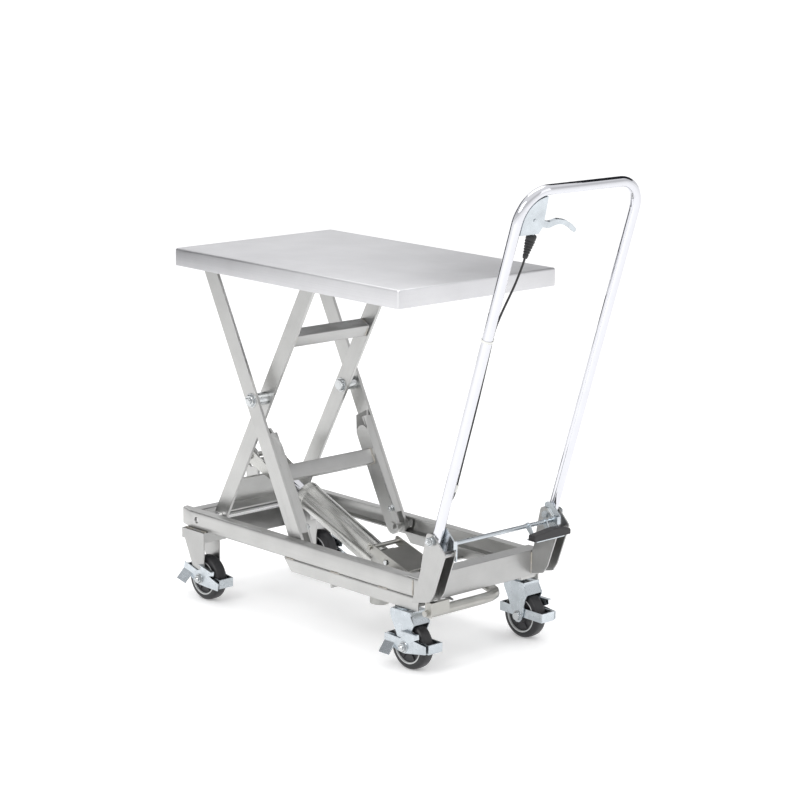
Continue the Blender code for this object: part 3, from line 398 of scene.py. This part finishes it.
def smooth(points, spacing):
    """Evenly spaced points on the smooth line through the given ones."""
    line = [Vector(p) for p in points]
    line = [2 * line[0] - line[1], *line, 2 * line[-1] - line[-2]]
    fine = []
    for a, b, c, d in zip(line, line[1:], line[2:], line[3:]):
        for k in range(20):
            t = k / 20
            bend = (2 * a - 5 * b + 4 * c - d) * t * t + (3 * b - a - 3 * c + d) * t**3
            fine.append((2 * b + (c - a) * t + bend) / 2)
    fine.append(line[-2])
    total = sum((b - a).length for a, b in zip(fine, fine[1:]))
    count = max(2, round(total / spacing))
    made = [fine[0]]
    walked = 0
    for a, b in zip(fine, fine[1:]):
        step = (b - a).length
        while len(made) < count and walked + step >= total * len(made) / count:
            made.append(a.lerp(b, (total * len(made) / count - walked) / step))
        walked += step
    return made + [fine[-1]]


WASHER_THICK = 0.0014
WASHER_CHAMFER = 0.0003
NUT_STEPS = 24
CROWN_FROM = 0.80
THREAD_PITCH = 0.0011
TURN_OF_NEXT_NUT = 0.35


def hexagon(bm, origin, axis, radius, height, stud, washer, turn):
    """A hexagon nut with chamfered corners, on a washer, with the end of its stud or without."""
    axis = Vector(axis).normalized()
    side = Matrix.Rotation(turn, 3, axis) @ axis.orthogonal().normalized()
    other = axis.cross(side)
    base = Vector(origin)
    rim = [(0, 0), (0, washer), (WASHER_THICK - WASHER_CHAMFER, washer)]
    rim += [(WASHER_THICK, washer - 0.0004), (WASHER_THICK, 0)]
    lathe(bm, rim, base, axis, 28)
    base = base + axis * WASHER_THICK
    flat = radius * math.cos(math.pi / 6)
    rows = []
    for level, crowned in ((0, False), (height * CROWN_FROM, False), (height, True)):
        row = []
        for k in range(NUT_STEPS):
            angle = 2 * math.pi * k / NUT_STEPS
            corner = flat / math.cos(angle % (math.pi / 3) - math.pi / 6)
            reach = flat * 0.95 if crowned else corner
            spoke = side * math.cos(angle) + other * math.sin(angle)
            row.append(bm.verts.new(base + spoke * reach + axis * level))
        rows.append(row)
    for first, second in zip(rows, rows[1:]):
        for k in range(NUT_STEPS):
            bm.faces.new((first[k - 1], first[k], second[k], second[k - 1]))
    bm.faces.new(rows[0][::-1])
    bm.faces.new(rows[-1])
    if stud:
        thread = [(height * 0.5, 0), (height * 0.5, radius * 0.48)]
        steps = max(2, round(stud / THREAD_PITCH))
        for k in range(steps):
            along = height + stud * k / steps
            thread += [(along, radius * 0.50), (along + stud / steps / 2, radius * 0.45)]
        thread += [(height + stud, radius * 0.38), (height + stud, 0)]
        lathe(bm, thread, base, axis, 20)


def fasteners(name, body, entries):
    """One piece of nuts: an (origin, axis, size) for each."""
    bm = bmesh.new()
    for k, (origin, axis, size) in enumerate(entries):
        hexagon(bm, origin, axis, *size, turn=TURN_OF_NEXT_NUT * k)
    show(bm, name, body, bolt_zinc, sharp=28)


RIPPLE = 0.0026
TAPER = 0.012


def bead(bm, start, end, radius):
    """A fillet weld: a rippled bead between two points, thinner at its ends."""
    start, end = Vector(start), Vector(end)
    count = max(4, round((end - start).length / RIPPLE * 3))
    points = []
    radii = []
    for k in range(count + 1):
        t = k / count
        points.append(start.lerp(end, t))
        swell = 0.82 + 0.18 * abs(math.sin(math.pi * k / 3)) + 0.06 * math.sin(k * 1.7)
        taper = min(1, 0.35 + 4 * min(t, 1 - t) * (end - start).length / TAPER)
        radii.append(radius * swell * taper)
    sweep(bm, points, radii, 10)


def welds(name, body, lines, radius):
    """One piece of weld beads, a (start, end) each."""
    bm = bmesh.new()
    for start, end in lines:
        bead(bm, start, end, radius)
    show(bm, name, body, bead_metal, sharp=80)


body_of = {
    node: body for body, nodes in frame["record"]["behaviour"]["bodies"].items() for node in nodes
}

# ---------------------------------------------------------------- sheet metal and arms

refine("table_top", deck, 0.0012, segments=3)
for side_name in SIDES:
    refine("table_channel_" + side_name, sheet, 0.0006)
    refine("rail_" + side_name, sheet, 0.0007)
    refine("side_skirt_" + side_name, sheet, 0.0007)
    refine("tower_" + side_name, upright, 0.0008)
    refine("front_fork_" + side_name, upright, 0.0008)
    refine("rear_fork_" + side_name, zinc, 0.0008)
    refine("caster_plate_" + side_name, sheet, 0.0007)
    refine("inner_arm_" + side_name, inner_bar, 0.0010)
    refine("outer_arm_" + side_name, outer_bar, 0.0010)
    refine("arm_stiffener_" + side_name, outer_bar, 0.0008)
    refine("centre_pin_" + side_name, bolt_zinc, 0.0007)
    refine("handle_bracket_" + side_name, zinc, 0.0008)
    refine("front_brake_" + side_name, zinc, 0.0008)
    refine("rear_brake_" + side_name, zinc, 0.0008)
    refine("top_roller_" + side_name, machined, 0.0008)
    refine("bottom_roller_" + side_name, machined, 0.0008)
refine("front_cross_plate", cross, 0.0007)
refine("rear_crossbeam", cross, 0.0007)
refine("lower_cross_member", cross, 0.0007)
refine("upper_cross_tube", cross, 0.0008)
refine("lift_lever", inner_bar, 0.0008)
refine("base_pivot_shaft", machined, 0.0006)
refine("rod_clevis", ram_steel, 0.0008)
refine("pump_body", cast_steel, 0.0016, segments=3)
refine("pump_bracket", sheet, 0.0007)
refine("pump_plunger", bolt_zinc, 0.0006)
refine("release_valve_lever", zinc, 0.0006)
refine("pedal_lever", treadle, 0.0008)
refine("pedal_pad", treadle, 0.0008)
refine("lever_bracket", zinc, 0.0006)
refine("hand_lever", zinc, 0.0014, segments=3)
refine("latch_rod", zinc, 0.0006)
refine("release_pedal", grip_rubber, 0.0012)
refine("cable_clip", ferrule_white, 0.0004)

# ---------------------------------------------------------------- wheels


RIBS = 6
# The reach, half width and height of a rib at its inner and its outer end.
RIB_ENDS = ((0.0150, 0.0030, 0.0132), (0.0335, 0.0022, 0.0112))
RIB_FOOT = 0.0080


def rib_section(axle, turn, face, reach, half, height):
    """The section across a rib of the core, narrower at its top."""
    corners = ((-half, RIB_FOOT), (-half * 0.6, height), (half * 0.6, height), (half, RIB_FOOT))
    return [axle + turn @ Vector((reach, face * up, across)) for across, up in corners]


def wheel(name, x, y):
    """A rubber tyre on a black core, a grey rim ring between them, and a steel bearing."""
    axle = place(x, y, WHEEL)
    across = Vector((0, 1, 0))
    bm = bmesh.new()
    tread = [(-0.0150, 0.0375), (-0.0150, 0.0415), (-0.0146, 0.0440), (-0.0136, 0.0462)]
    tread += [(-0.0118, 0.0482), (-0.0092, 0.0494), (-0.0050, 0.04985), (0.0, 0.0500)]
    tread += [(-a, r) for a, r in reversed(tread[:-1])]
    tread += [(0.0128, 0.0368), (-0.0128, 0.0368), (-0.0150, 0.0375)]
    lathe(bm, tread, axle, across, 72)
    show(bm, name + "_tyre", name, rubber, (name,), 40)
    bm = bmesh.new()
    for face in (-1, 1):
        rim = [(0.0126, 0.0378), (0.0152, 0.0376), (0.0156, 0.0366), (0.0152, 0.0350)]
        rim += [(0.0122, 0.0344), (0.0110, 0.0350), (0.0126, 0.0378)]
        lathe(bm, [(face * a, r) for a, r in rim], axle, across, 64)
    show(bm, name + "_rim", name, rim_plastic)
    bm = bmesh.new()
    core = [(-0.0118, 0.0368), (-0.0120, 0.0345), (-0.0104, 0.0325), (-0.0092, 0.0260)]
    core += [(-0.0096, 0.0190), (-0.0120, 0.0165), (-0.0140, 0.0155), (-0.0142, 0.0100)]
    core += [(0.0142, 0.0100)] + [(-a, r) for a, r in reversed(core[:-1])] + [(-0.0118, 0.0368)]
    lathe(bm, core, axle, across, 56)
    for face in (-1, 1):
        for k in range(RIBS):
            turn = Matrix.Rotation(2 * math.pi * k / RIBS, 3, "Y")
            prism(bm, *(rib_section(axle, turn, face, *end) for end in RIB_ENDS))
    show(bm, name + "_core", name, core_plastic)
    bm = bmesh.new()
    for face in (-1, 1):
        race = [(0.0120, 0.0102), (0.0145, 0.0104), (0.0150, 0.0098), (0.0150, 0.0078)]
        race += [(0.0158, 0.0074), (0.0160, 0.0056), (0.0120, 0.0056), (0.0120, 0.0102)]
        lathe(bm, [(face * a, r) for a, r in race], axle, across, 40)
    show(bm, name + "_bearing", name, machined)


for side_name, side in SIDES.items():
    wheel("front_wheel_" + side_name, FRONT_AXLE_X, side * WHEEL_Y)
    wheel("rear_wheel_" + side_name, REAR_AXLE_X, side * WHEEL_Y)

# ---------------------------------------------------------------- brake side plates

PLATE_NEAR = 0.1891
PLATE_FAR = 0.1911
PLATE_OUTLINE = [
    (-0.0565, -0.0015),
    (-0.0565, 0.0185),
    (-0.0250, 0.0172),
    (-0.0110, 0.0168),
    (-0.0030, 0.0215),
    (0.0010, 0.0352),
    (0.0430, 0.0352),
    (0.0440, 0.0255),
    (0.0300, 0.0190),
    (0.0640, 0.0150),
    (0.0640, -0.0020),
    (0.0200, -0.0100),
    (0.0000, -0.0128),
    (-0.0170, -0.0105),
]
TAB = [(-0.0010, 0.0340), (0.0430, 0.0340), (0.0430, 0.0358), (-0.0010, 0.0358)]
WING_EDGE = (-0.0560, -0.0260)
WING = [(0.1895, 0.0020), (0.2065, -0.0200), (0.2080, -0.0188), (0.1911, 0.0034)]


def brake_plate(name, x, side, tip):
    """The foot plate outside a wheel: a raised tab folded outward and a wing at the toe."""
    turn = Matrix.Rotation(tip, 3, "Y")

    def spot(along, y, up):
        return place(x, side * y, WHEEL) + turn @ Vector((along, 0, up))

    bm = bmesh.new()
    for outline, near, far in ((PLATE_OUTLINE, PLATE_NEAR, PLATE_FAR), (TAB, PLATE_NEAR, 0.1985)):
        prism(bm, [spot(a, near, u) for a, u in outline], [spot(a, far, u) for a, u in outline])
    prism(bm, *([spot(edge, y, up) for y, up in WING] for edge in WING_EDGE))
    soften(show(bm, name + "_plate", name, zinc, sharp=30), 0.0005)


for side_name, side in SIDES.items():
    brake_plate("front_brake_" + side_name, FRONT_AXLE_X, side, math.radians(12))
    brake_plate("rear_brake_" + side_name, REAR_AXLE_X, side, 0)

# ---------------------------------------------------------------- fasteners and welds

OUT = Vector((0, 1, 0))
# Each size: radius, height, how far the stud stands out, radius of the washer.
AXLE_NUT = (0.0096, 0.0058, 0.0040, 0.0115)
AXLE_HEAD = (0.0096, 0.0058, 0.0, 0.0115)
CENTRE_NUT = (0.0134, 0.0062, 0.0050, 0.0158)
CENTRE_HEAD = (0.0134, 0.0062, 0.0, 0.0158)
STIFFENER_NUT = (0.0080, 0.0050, 0.0040, 0.0098)
HINGE_NUT = (0.0080, 0.0050, 0.0040, 0.0098)
STIFFENER_BOLT_ALONG = 0.036
STIFFENER_BOLT_UP = 0.0135
for side_name, side in SIDES.items():
    for wheel_name, body, x in (
        ("front_axle_", "chassis", FRONT_AXLE_X),
        ("rear_axle_", "rear_fork_" + side_name, REAR_AXLE_X),
    ):
        fasteners(
            wheel_name + side_name,
            body,
            [
                (place(x, side * 0.1912, WHEEL), OUT * side, AXLE_NUT),
                (place(x, side * 0.1415, WHEEL), OUT * -side, AXLE_HEAD),
            ],
        )
    bolt = on_outer_arm(STIFFENER_BOLT_ALONG, STIFFENER_BOLT_UP, side * 0.1262)
    fasteners(
        "centre_nuts_" + side_name,
        "outer_arms",
        [
            (on_outer_arm(ARM / 2, 0, side * 0.1526), OUT * side, CENTRE_NUT),
            (on_outer_arm(ARM / 2, 0, side * 0.1066), OUT * -side, CENTRE_HEAD),
            (bolt, OUT * -side, STIFFENER_NUT),
        ],
    )
    hinge = on_handle(side * 0.1876, HANDLE_PIVOT)
    fasteners(
        "hinge_nut_" + side_name,
        body_of["handle_bracket_" + side_name],
        [(hinge, OUT * side, HINGE_NUT)],
    )


def tube_ends(point, along, half_along, half_up, y):
    """The four seams where a tube meets the arm at this y."""
    corners = [(-half_along, -half_up), (half_along, -half_up)]
    corners += [(half_along, half_up), (-half_along, half_up)]
    spots = [point(along + a, u, y) for a, u in corners]
    return list(zip(spots, spots[1:] + spots[:1]))


FORK_SEAM = ((-0.373, 0.1796, 0.1553), (-0.302, 0.1796, 0.1553))
UPRIGHT_SEAM = ((0.3546, 0.1784, 0.158), (0.3546, 0.1784, 0.192))
BEAM_SEAM = ((0.3724, 0.1484, 0.148), (0.3724, 0.1484, 0.195))
SKIRT_STITCHES = (-0.040, 0.105, 0.250)
STITCH = 0.028

inner_seams = []
outer_seams = []
base_seams = []
for side in SIDES.values():
    inner_seams += tube_ends(on_inner_arm, 0.491, 0.0140, 0.0140, side * 0.1026)
    outer_seams += tube_ends(on_outer_arm, 0.161, 0.0166, 0.0096, side * 0.1232)
    for seam in (FORK_SEAM, UPRIGHT_SEAM, BEAM_SEAM):
        base_seams.append([place(x, side * y, z) for x, y, z in seam])
    for x in SKIRT_STITCHES:
        base_seams.append([place(end, side * 0.1770, 0.1550) for end in (x, x + STITCH)])
welds("inner_arm_welds", "inner_arms", inner_seams, 0.0020)
welds("outer_arm_welds", "outer_arms", outer_seams, 0.0020)
welds("base_welds", "chassis", base_seams, 0.0018)

# ---------------------------------------------------------------- ram

bm = bmesh.new()
profile = [(0.0625, 0.0), (0.0625, 0.0276), (0.0640, 0.0288), (0.0700, 0.0288)]
profile += [(0.0706, 0.0282), (0.0720, 0.0282), (0.0726, BARREL), (0.300, BARREL)]
profile += [(0.3012, 0.0286), (0.3030, 0.0286), (0.3042, BARREL + 0.0012)]
profile += [(BARREL_HEAD - 0.003, BARREL + 0.0015), (BARREL_HEAD - 0.001, BARREL + 0.0008)]
profile += [(BARREL_HEAD, BARREL - 0.0010), (BARREL_HEAD, 0.0190), (BARREL_HEAD - 0.0022, 0.0182)]
profile += [(BARREL_HEAD - 0.0022, 0.0142), (BARREL_HEAD - 0.0004, 0.0138)]
profile += [(BARREL_HEAD - 0.0004, 0.0129), (BARREL_HEAD - 0.0100, 0.0129)]
profile += [(BARREL_HEAD - 0.0100, 0.0240), (0.0720, 0.0240), (0.0720, 0.0), (0.0625, 0.0)]
lathe(bm, profile, place(*BASE_PIN), PUSH, 64)
show(bm, "ram_barrel", "cylinder", ram_steel, ("cylinder_barrel",))
bm = bmesh.new()
wiper = [(-0.0020, 0.0180), (0.0010, 0.0176), (0.0016, 0.0150)]
wiper += [(0.0006, 0.0129), (-0.0020, 0.0129), (-0.0020, 0.0180)]
lathe(bm, [(BARREL_HEAD + a, r) for a, r in wiper], place(*BASE_PIN), PUSH, 48)
show(bm, "ram_wiper", "cylinder", sheath)
bm = bmesh.new()
profile = [(0.196, 0.0), (0.196, 0.0232), (0.198, 0.0236), (0.202, 0.0236), (0.202, 0.0222)]
profile += [(0.206, 0.0222), (0.206, 0.0236), (0.212, 0.0236), (0.212, ROD), (0.4395, ROD)]
profile += [(0.4427, ROD - 0.0016), (0.4427, 0.0)]
lathe(bm, profile, place(*BASE_PIN), PUSH, 48)
show(bm, "ram_rod", "rod", chrome, ("cylinder_rod",))

# ---------------------------------------------------------------- handle and cable


def hoop_line(foot):
    """Points up the left leg, round the two bends and down the right leg."""
    bend = HANDLE_Y - HANDLE_BEND
    top = HANDLE_TOP - HANDLE_BEND
    line = []
    steps = 24
    for k in range(steps + 1):
        turn = math.radians(90 * k / steps)
        line.append((bend + HANDLE_BEND * math.cos(turn), top + HANDLE_BEND * math.sin(turn)))
    left = [(-HANDLE_Y, foot + (top - foot) * k / 12) for k in range(12)]
    left += [(-y, along) for y, along in line]
    right = [(y, along) for y, along in reversed(line)]
    right += [(HANDLE_Y, foot + (top - foot) * k / 12) for k in range(11, -1, -1)]
    return [on_handle(y, along) for y, along in left + right]


bm = bmesh.new()
sweep(bm, hoop_line(HANDLE_FOOT), HANDLE_TUBE, 40, caps=False)
sweep(bm, hoop_line(HANDLE_FOOT), HANDLE_TUBE - 0.0015, 40, caps=False)
ends = [e for e in bm.edges if e.is_boundary]
bmesh.ops.bridge_loops(bm, edges=[e for e in ends if e.verts[0].co.y < 0])
bmesh.ops.bridge_loops(bm, edges=[e for e in ends if e.verts[0].co.y > 0])
show(bm, "handle_hoop", "handle", chrome, ("handle_tube",), 60)

CABLE = 0.00225
upper_route = [
    on_handle(-0.1190, 0.9100),
    on_handle(-0.1205, 0.892),
    on_handle(-0.1290, 0.850),
    on_handle(-0.1440, 0.800),
    on_handle(-0.1520, 0.765),
    on_handle(-0.1529, 0.739),
    on_handle(-0.1515, 0.700),
    on_handle(-0.1490, 0.600),
    on_handle(-0.1490, 0.500),
    on_handle(-0.1490, 0.420),
    on_handle(-0.1500, 0.398),
    on_handle(-0.1570, 0.3775),
    on_handle(-0.1635, 0.360),
    on_handle(-0.1668, 0.340, -0.003),
    on_handle(-0.1670, 0.315, -0.0066),
    on_handle(-0.1670, 0.2967, -0.0067),
    on_handle(-0.1670, 0.280, -0.0060),
    on_handle(-0.1670, 0.2664, -0.0045),
]
lower_route = [
    on_handle(-0.1670, 0.250, -0.0025),
    place(0.3945, -0.1660, 0.215),
    place(0.3880, -0.1620, 0.188),
    place(0.3790, -0.1600, 0.1755),
    place(0.3690, -0.1600, 0.1750),
    place(0.3610, -0.1580, 0.1745),
    place(0.3550, -0.1480, 0.1730),
    place(0.3540, -0.1250, 0.166),
    place(0.3510, -0.0950, 0.148),
    place(0.3420, -0.0580, 0.127),
    place(0.3180, -0.0300, 0.114),
    place(0.2800, -0.0180, 0.1095),
    place(0.2200, -0.0130, 0.1100),
    place(0.1850, -0.0090, 0.1140),
    place(0.1705, -0.0030, 0.1160),
]
bm = bmesh.new()
sweep(bm, smooth(upper_route + lower_route, 0.005), CABLE, 14)
replaced = ("release_cable_upper", "release_cable_lower")
cable = show(bm, "release_cable", None, sheath, replaced)
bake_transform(cable)

bm = bmesh.new()
boot = [(0.0, 0.0), (0.0, 0.0092), (0.0015, 0.0104), (0.0090, 0.0101)]
for k in range(6):
    along = 0.0110 + 0.0056 * k
    outer = 0.0100 - 0.00085 * k
    boot += [(along, outer - 0.0012), (along + 0.0016, outer), (along + 0.0036, outer)]
boot += [(0.0455, 0.0052), (0.0484, 0.0044), (0.0484, 0.0)]
top = on_handle(-0.1160, 0.9570)
lathe(bm, boot, top, on_handle(-0.1192, 0.9085) - top, 32)
show(bm, "cable_boot", "handle", sheath, sharp=60)

bm = bmesh.new()
collar = [(0.0, 0.0024), (0.0, 0.0040), (0.001, 0.0044)]
collar += [(0.012, 0.0044), (0.016, 0.0034), (0.016, 0.0024)]
top = on_handle(-0.1492, 0.420)
lathe(bm, collar + [(0.0, 0.0024)], top, on_handle(-0.1500, 0.398) - top, 28)
show(bm, "cable_ferrule", "handle", ferrule_white)

# ---------------------------------------------------------------- stage, camera and light



def stage_object(name, bm, material):
    """Puts a mesh into the studio, beside the object."""
    mesh = bpy.data.meshes.new(name)
    bm.to_mesh(mesh)
    bm.free()
    mesh.materials.append(material)
    made = bpy.data.objects.new(name, mesh)
    bpy.context.scene.collection.objects.link(made)
    return made


PALE = (0.95, 0.95, 0.95)
FLOOR_RADIUS = 60
FLOOR_GLOW = 0.24
ground = Shade("pale_floor", specular=0.1)
ground.shader.inputs["Emission Color"].default_value = (1, 1, 1, 1)
ground.shader.inputs["Emission Strength"].default_value = FLOOR_GLOW
dust = ground.noise(0.8, 2.0)
ground = ground.finish(
    ground.ramp(dust, [(0.3, tuple(c * 0.995 for c in PALE)), (0.7, PALE)]),
    ground.ramp(dust, [(0.3, 0.80), (0.7, 0.88)]),
)
bm = bmesh.new()
bmesh.ops.create_circle(bm, cap_ends=True, segments=64, radius=FLOOR_RADIUS)
stage_object("floor", bm, ground)


def flag(name, azimuth, distance, width, low, high, shade):
    """A dark upright card that only reflections see, so that bright metal shows its form."""
    azimuth = math.radians(azimuth)
    bm = bmesh.new()
    across = Vector((-math.sin(azimuth), math.cos(azimuth), 0)) * width / 2
    centre = Vector((math.cos(azimuth), math.sin(azimuth), 0)) * distance
    corners = ((-1, low), (1, low), (1, high), (-1, high))
    bm.faces.new([bm.verts.new(centre + across * end + Vector((0, 0, z))) for end, z in corners])
    card = stage_object(name, bm, shade)
    card.visible_camera = False
    card.visible_diffuse = False
    card.visible_shadow = False
    card.visible_transmission = False


felt = Shade("dark_felt", specular=0.05)
fibres = felt.noise(0.01, 2.0)
felt = felt.finish(
    felt.ramp(fibres, [(0.3, (0.010, 0.011, 0.014)), (0.7, (0.022, 0.023, 0.028))]),
    felt.ramp(fibres, [(0.3, 0.85), (0.7, 0.95)]),
)
flag("flag_front", 192, 3.2, 3.2, 0.40, 3.6, felt)
flag("flag_right", 100, 3.6, 4.4, 1.9, 4.6, felt)

AZIMUTH = math.radians(46.41)
ELEVATION = math.radians(12.13)
ROLL = math.radians(0.81)
camera_data = bpy.data.cameras.new("camera")
camera_data.sensor_width = 36
camera_data.lens = 114.87
camera = bpy.data.objects.new("camera", camera_data)
bpy.context.scene.collection.objects.link(camera)
camera.location = place(3.9196, -3.6150, 1.6261)
back = Vector(
    (
        math.sin(AZIMUTH) * math.cos(ELEVATION),
        -math.cos(AZIMUTH) * math.cos(ELEVATION),
        math.sin(ELEVATION),
    )
)
turn = (-back).to_track_quat("-Z", "Y").to_matrix() @ Matrix.Rotation(ROLL, 3, "Z")
camera.rotation_euler = turn.to_euler()
bpy.context.scene.camera = camera


def softbox(name, location, target, size, power):
    """A rectangular area light turned towards a target."""
    light = bpy.data.lights.new(name, "AREA")
    light.shape = "RECTANGLE"
    light.size, light.size_y = size
    light.energy = power
    lamp = bpy.data.objects.new(name, light)
    bpy.context.scene.collection.objects.link(lamp)
    lamp.location = location
    lamp.rotation_euler = (Vector(target) - Vector(location)).to_track_quat("-Z", "Y").to_euler()


softbox("key", (1.0, -2.8, 2.6), (0, 0, 0.5), (1.6, 1.6), 34)
softbox("fill", (2.8, 1.4, 1.8), (0, 0, 0.5), (1.2, 1.6), 4)
softbox("top", (-0.4, 0.3, 3.2), (0, 0, 0.4), (2.0, 1.6), 18)
softbox("rim", (-2.6, 0.2, 1.3), (0, 0, 0.4), (0.8, 1.4), 5)

world = bpy.context.scene.world or bpy.data.worlds.new("studio")
bpy.context.scene.world = world
world.use_nodes = True
tree = world.node_tree
background = tree.nodes["Background"]
direction = tree.nodes.new("ShaderNodeTexCoord")
split = tree.nodes.new("ShaderNodeSeparateXYZ")
bands = tree.nodes.new("ShaderNodeValToRGB")
tree.links.new(direction.outputs["Generated"], split.inputs["Vector"])
tree.links.new(split.outputs["Z"], bands.inputs["Fac"])
tree.links.new(bands.outputs["Color"], background.inputs["Color"])
elements = bands.color_ramp.elements
elements[0].color = (0.86, 0.86, 0.87, 1)
elements[-1].color = (1.0, 1.0, 1.0, 1)
for position, value in ((0.10, 0.84), (0.34, 0.66), (0.62, 0.95)):
    elements.new(position).color = (value, value, value * 1.01, 1)
background.inputs["Strength"].default_value = 1.0
bpy.context.scene.view_settings.view_transform = "Standard"
